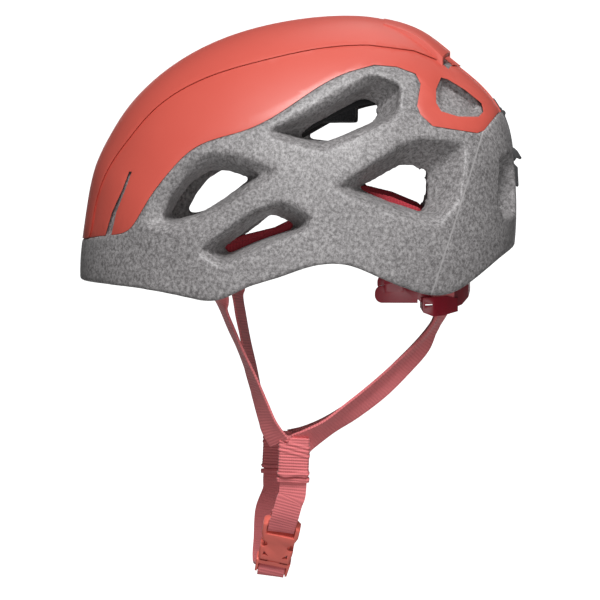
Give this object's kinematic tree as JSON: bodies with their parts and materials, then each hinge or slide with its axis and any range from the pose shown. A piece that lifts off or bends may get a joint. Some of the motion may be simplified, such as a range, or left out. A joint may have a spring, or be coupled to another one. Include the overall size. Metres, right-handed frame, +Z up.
{
  "type": "climbing helmet",
  "caption": "Lightweight climbing helmet: vented foam body with a crown shell, Y straps, side-release chin buckle, tilting size-adjusting nape cradle and rear headlamp keeper.",
  "frame": {"origin": "mid-plane of the helmet at rim level, the centre of the head opening", "axes": "+Z up, the front of the helmet faces -Y, the wearer's left side is +X"},
  "size_m": [0.21, 0.2678, 0.3403],
  "materials": {
    "shell": "satin",
    "foam": "beaded foam",
    "core": "moulded foam",
    "padding": "brushed fabric",
    "webbing": "woven webbing",
    "trim_webbing": "woven",
    "buckle": "satin",
    "cradle": "satin",
    "elastic": "matte",
    "black_plastic": "matte"
  },
  "bodies": {
    "helmet": {"foam_body": "foam", "shell": "shell", "crown_core": "core", "brow_pad": "padding", "crown_pad": "padding", "keeper_mount": "black_plastic", "keeper_catch": "black_plastic", "buckle_female": "buckle", "chin_strap_left": "webbing", "chin_strap_right": "webbing", "anchor_front_left": "black_plastic", "anchor_rear_left": "black_plastic", "front_strap_left": "webbing", "rear_strap_left": "webbing", "harness_web_left": "trim_webbing", "junction_left": "webbing", "pivot_left": "black_plastic", "anchor_front_right": "black_plastic", "anchor_rear_right": "black_plastic", "front_strap_right": "webbing", "rear_strap_right": "webbing", "harness_web_right": "trim_webbing", "junction_right": "webbing", "pivot_right": "black_plastic"},
    "cradle": {"cradle_arm_left": "cradle", "cradle_arm_right": "cradle"},
    "yoke": {"nape_yoke": "cradle", "nape_pad": "padding"},
    "plug": {"buckle_male": "buckle"},
    "latch_l": {"latch_left": "buckle"},
    "latch_r": {"latch_right": "buckle"},
    "ring_l": {"ring_left": "webbing"},
    "ring_r": {"ring_right": "webbing"},
    "keeper": {"keeper_band": "elastic", "keeper_hook": "black_plastic"}
  },
  "joints": [
    {"name": "cradle_tilt", "type": "hinge", "parent": "helmet", "child": "cradle", "pos_m": [0, 0.056, 0.038], "axis": [1, 0, 0], "range_deg": [-12, 1], "deforming": ["rear_strap_left", "rear_strap_right"]},
    {"name": "size_slide", "type": "slide", "parent": "cradle", "child": "yoke", "axis": [0, 1, 0], "range_m": [0, 0.004], "deforming": ["rear_strap_left", "rear_strap_right"]},
    {"name": "buckle_release", "type": "slide", "parent": "helmet", "child": "plug", "axis": [-0.5152, -0.2084, -0.8313], "range_m": [0, 0.024], "deforming": ["chin_strap_right"]},
    {"name": "latch_squeeze_l", "type": "hinge", "parent": "plug", "child": "latch_l", "pos_m": [0.02027, -0.00832, -0.15685], "axis": [0.8552, -0.0617, -0.5145], "range_deg": [0, 6], "stiffness_Nm_per_rad": 0.05},
    {"name": "latch_squeeze_r", "type": "hinge", "parent": "plug", "child": "latch_r", "pos_m": [0.02089, -0.01916, -0.15452], "axis": [-0.8552, 0.0617, 0.5145], "range_deg": [0, 6], "stiffness_Nm_per_rad": 0.05},
    {"name": "ring_slide_l", "type": "slide", "parent": "helmet", "child": "ring_l", "axis": [-0.1389, -0.0421, -0.9894], "range_m": [0, 0.005]},
    {"name": "ring_slide_r", "type": "slide", "parent": "helmet", "child": "ring_r", "axis": [0.1389, -0.0421, -0.9894], "range_m": [0, 0.005]},
    {"name": "keeper_lift", "type": "hinge", "parent": "helmet", "child": "keeper", "pos_m": [0, 0.12349, 0.1135], "axis": [1, 0, 0], "range_deg": [0, 50]}
  ]
}
